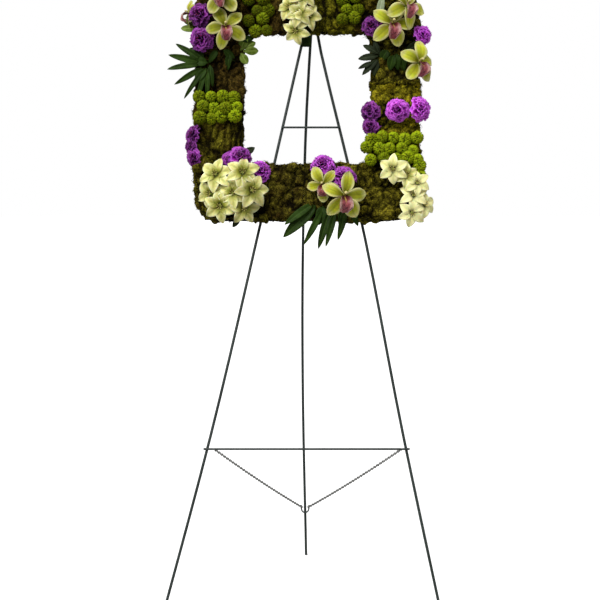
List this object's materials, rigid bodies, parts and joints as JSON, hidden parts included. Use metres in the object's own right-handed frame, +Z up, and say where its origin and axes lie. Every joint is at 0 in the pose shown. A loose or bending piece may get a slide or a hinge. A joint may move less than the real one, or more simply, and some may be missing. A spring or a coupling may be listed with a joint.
{
  "type": "funeral wreath on an easel",
  "caption": "Square mossed funeral wreath with orchids, carnations, cream blooms and green button flowers, hung on a folding three-legged wire easel",
  "frame": {"origin": "middle of the footprint, on the surface that the easel stands on", "axes": "+X to the viewer's right, +Y to the back, +Z up; the wreath faces -Y"},
  "size_m": [0.6648, 0.602, 1.5084],
  "materials": {
    "painted_wire": "dark grey-green enamelled steel wire",
    "chain_steel": "dulled steel link chain",
    "backing": "green moulded backing",
    "floral_foam": "green crumbly flower foam, about the density of wet foam",
    "moss_dark": "dark brown-black dried moss",
    "moss_olive": "olive moss with long strands",
    "moss_yellow": "yellow-brown moss",
    "purple_petals": "ruffled matt petals",
    "green_petals": "waxy petals, green-yellow with a pink lip",
    "cream_petals": "soft cream petals with a green throat",
    "lime_petals": "dense lime-green button heads",
    "leaf": "glossy green leaf"
  },
  "bodies": {
    "front_frame": {"button_mums_left": "lime_petals", "button_mums_right": "lime_petals", "button_mums_top_left": "lime_petals", "button_mums_top_right": "lime_petals", "carnation_01": "purple_petals", "carnation_02": "purple_petals", "carnation_03": "purple_petals", "carnation_04": "purple_petals", "carnation_05": "purple_petals", "carnation_06": "purple_petals", "carnation_07": "purple_petals", "carnation_08": "purple_petals", "carnation_09": "purple_petals", "carnation_10": "purple_petals", "carnation_11": "purple_petals", "carnation_12": "purple_petals", "carnation_13": "purple_petals", "chain_left": "chain_steel", "chain_right": "chain_steel", "cream_blooms_bottom": "cream_petals", "cream_blooms_left": "cream_petals", "cream_blooms_right_lower": "cream_petals", "cream_blooms_right_upper": "cream_petals", "cream_blooms_top": "cream_petals", "cymbidium_01": "green_petals", "cymbidium_02": "green_petals", "cymbidium_03": "green_petals", "cymbidium_04": "green_petals", "cymbidium_05": "green_petals", "cymbidium_06": "green_petals", "cymbidium_07": "green_petals", "cymbidium_08": "green_petals", "dark_leaves": "leaf", "flower_holder": "floral_foam", "foam_backing": "backing", "foam_ring": "floral_foam", "hinge_rod": "painted_wire", "left_front_leg": "painted_wire", "lower_crossbar": "painted_wire", "moss_bottom": "moss_dark", "moss_bottom_left_corner": "moss_olive", "moss_bottom_right_corner": "moss_olive", "moss_left_lower": "moss_olive", "moss_left_upper": "moss_dark", "moss_right": "moss_yellow", "moss_top_left": "moss_dark", "moss_top_left_corner": "moss_dark", "moss_top_right": "moss_yellow", "moss_top_right_corner": "moss_yellow", "palm_leaf_bottom": "leaf", "palm_leaf_left": "leaf", "right_front_leg": "painted_wire", "round_leaves": "leaf", "upper_crossbar": "painted_wire", "wreath_hook": "painted_wire"},
    "rear_leg": {"rear_leg": "painted_wire", "chain_loop": "painted_wire"}
  },
  "joints": [
    {"name": "rear_leg_fold", "type": "hinge", "parent": "front_frame", "child": "rear_leg", "pos_m": [0.02196, -0.07041, 1.39363], "axis": [1, 0, 0], "range_deg": [-20, 0], "deforming": ["chain_left", "chain_right"]}
  ]
}
